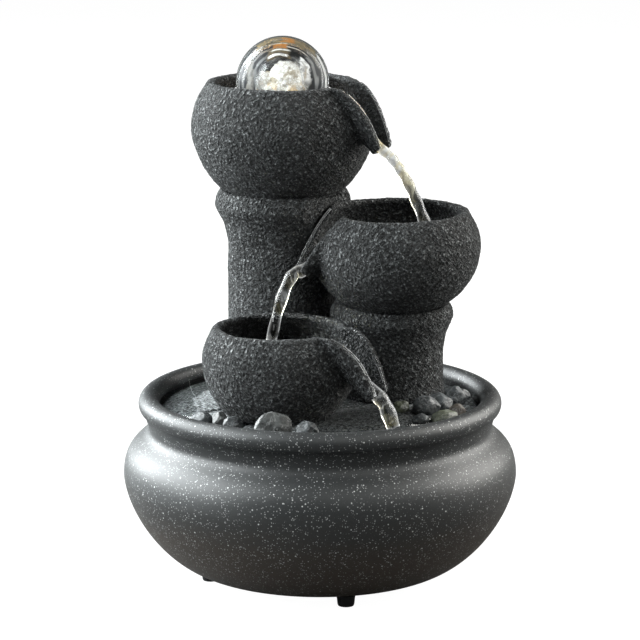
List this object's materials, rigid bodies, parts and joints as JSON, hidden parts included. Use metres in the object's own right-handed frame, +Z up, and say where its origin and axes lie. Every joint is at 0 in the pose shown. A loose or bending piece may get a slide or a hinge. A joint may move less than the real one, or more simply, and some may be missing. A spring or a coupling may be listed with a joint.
{
  "type": "tabletop water fountain",
  "caption": "Round speckled basin with cast stone-look pillars and spouted bowls, a glass ball, pebbles, and a pump that cycles water over the spouts.",
  "frame": {"origin": "on the basin's vertical axis, at the bottom of the rubber feet", "axes": "+Z up; -Y towards the viewer, the side where the lowest bowl stands; +X to the right, where the middle bowl stands"},
  "size_m": [0.2096, 0.2096, 0.2849],
  "materials": {
    "basin_glaze": "cast polyresin, satin charcoal lacquer with fine pale speckles",
    "black_rubber": "moulded black rubber, matt",
    "cast_stone": "cast polyresin with a coarse chiselled stone-dust skin, near-black charcoal, dry and matt",
    "clear_glass": "clear polished solid glass",
    "white_plastic": "moulded off-white plastic",
    "pump_plastic": "moulded black plastic",
    "circuit_board": "green lacquered circuit board",
    "clear_plastic": "clear moulded plastic lens",
    "polished_steel": "polished steel",
    "filter_sponge": "open-cell black filter sponge",
    "clear_vinyl": "clear flexible vinyl tube",
    "black_cable": "black vinyl cable jacket",
    "pebble_quartz": "broken pale quartz stone, wet sheen",
    "pebble_brown": "broken brown-grey stone, wet sheen",
    "pebble_dark": "broken dark stone, wet sheen",
    "pebble_slate": "broken slate-grey stone, wet sheen",
    "pebble_olive": "broken olive-grey stone, wet sheen"
  },
  "bodies": {
    "root": {"basin": "basin_glaze", "foot_1": "black_rubber", "foot_2": "black_rubber", "foot_3": "black_rubber", "foot_4": "black_rubber", "deck": "cast_stone", "tall_pillar": "cast_stone", "short_pillar": "cast_stone", "top_bowl": "cast_stone", "middle_bowl": "cast_stone", "lower_bowl": "cast_stone", "ball_cup": "white_plastic", "light_housing": "pump_plastic", "light_board": "circuit_board", "light_lens": "clear_plastic", "pump_body": "pump_plastic", "impeller_shaft": "polished_steel", "impeller_cap": "pump_plastic", "inlet_sponge": "filter_sponge", "inlet_cover": "pump_plastic", "suction_cup_1": "black_rubber", "suction_cup_2": "black_rubber", "suction_cup_3": "black_rubber", "suction_cup_4": "black_rubber", "riser_tube": "clear_vinyl", "cord_gland": "black_rubber", "pump_lead": "black_cable", "light_lead": "black_cable", "pebble_01": "pebble_quartz", "pebble_02": "pebble_slate", "pebble_03": "pebble_dark", "pebble_04": "pebble_slate", "pebble_05": "pebble_slate", "pebble_06": "pebble_dark", "pebble_07": "pebble_olive", "pebble_08": "pebble_brown", "pebble_09": "pebble_olive", "pebble_10": "pebble_quartz", "pebble_11": "pebble_dark", "pebble_12": "pebble_slate", "pebble_13": "pebble_brown", "pebble_14": "pebble_quartz", "pebble_15": "pebble_slate"},
    "ball": {"glass_ball": "clear_glass"},
    "rotor": {"impeller": "white_plastic"},
    "knob": {"flow_knob": "white_plastic"}
  },
  "joints": [
    {"name": "ball_roll", "type": "hinge", "parent": "root", "child": "ball", "pos_m": [-0.02, 0.044, 0.25993], "axis": [1, 0, 0], "continuous": true},
    {"name": "impeller_spin", "type": "hinge", "parent": "root", "child": "rotor", "pos_m": [-0.02, 0.053, 0.0299], "axis": [0, 1, 0], "continuous": true},
    {"name": "flow_turn", "type": "hinge", "parent": "root", "child": "knob", "pos_m": [-0.003, 0.044, 0.0299], "axis": [1, 0, 0], "range_deg": [0, 90]}
  ]
}
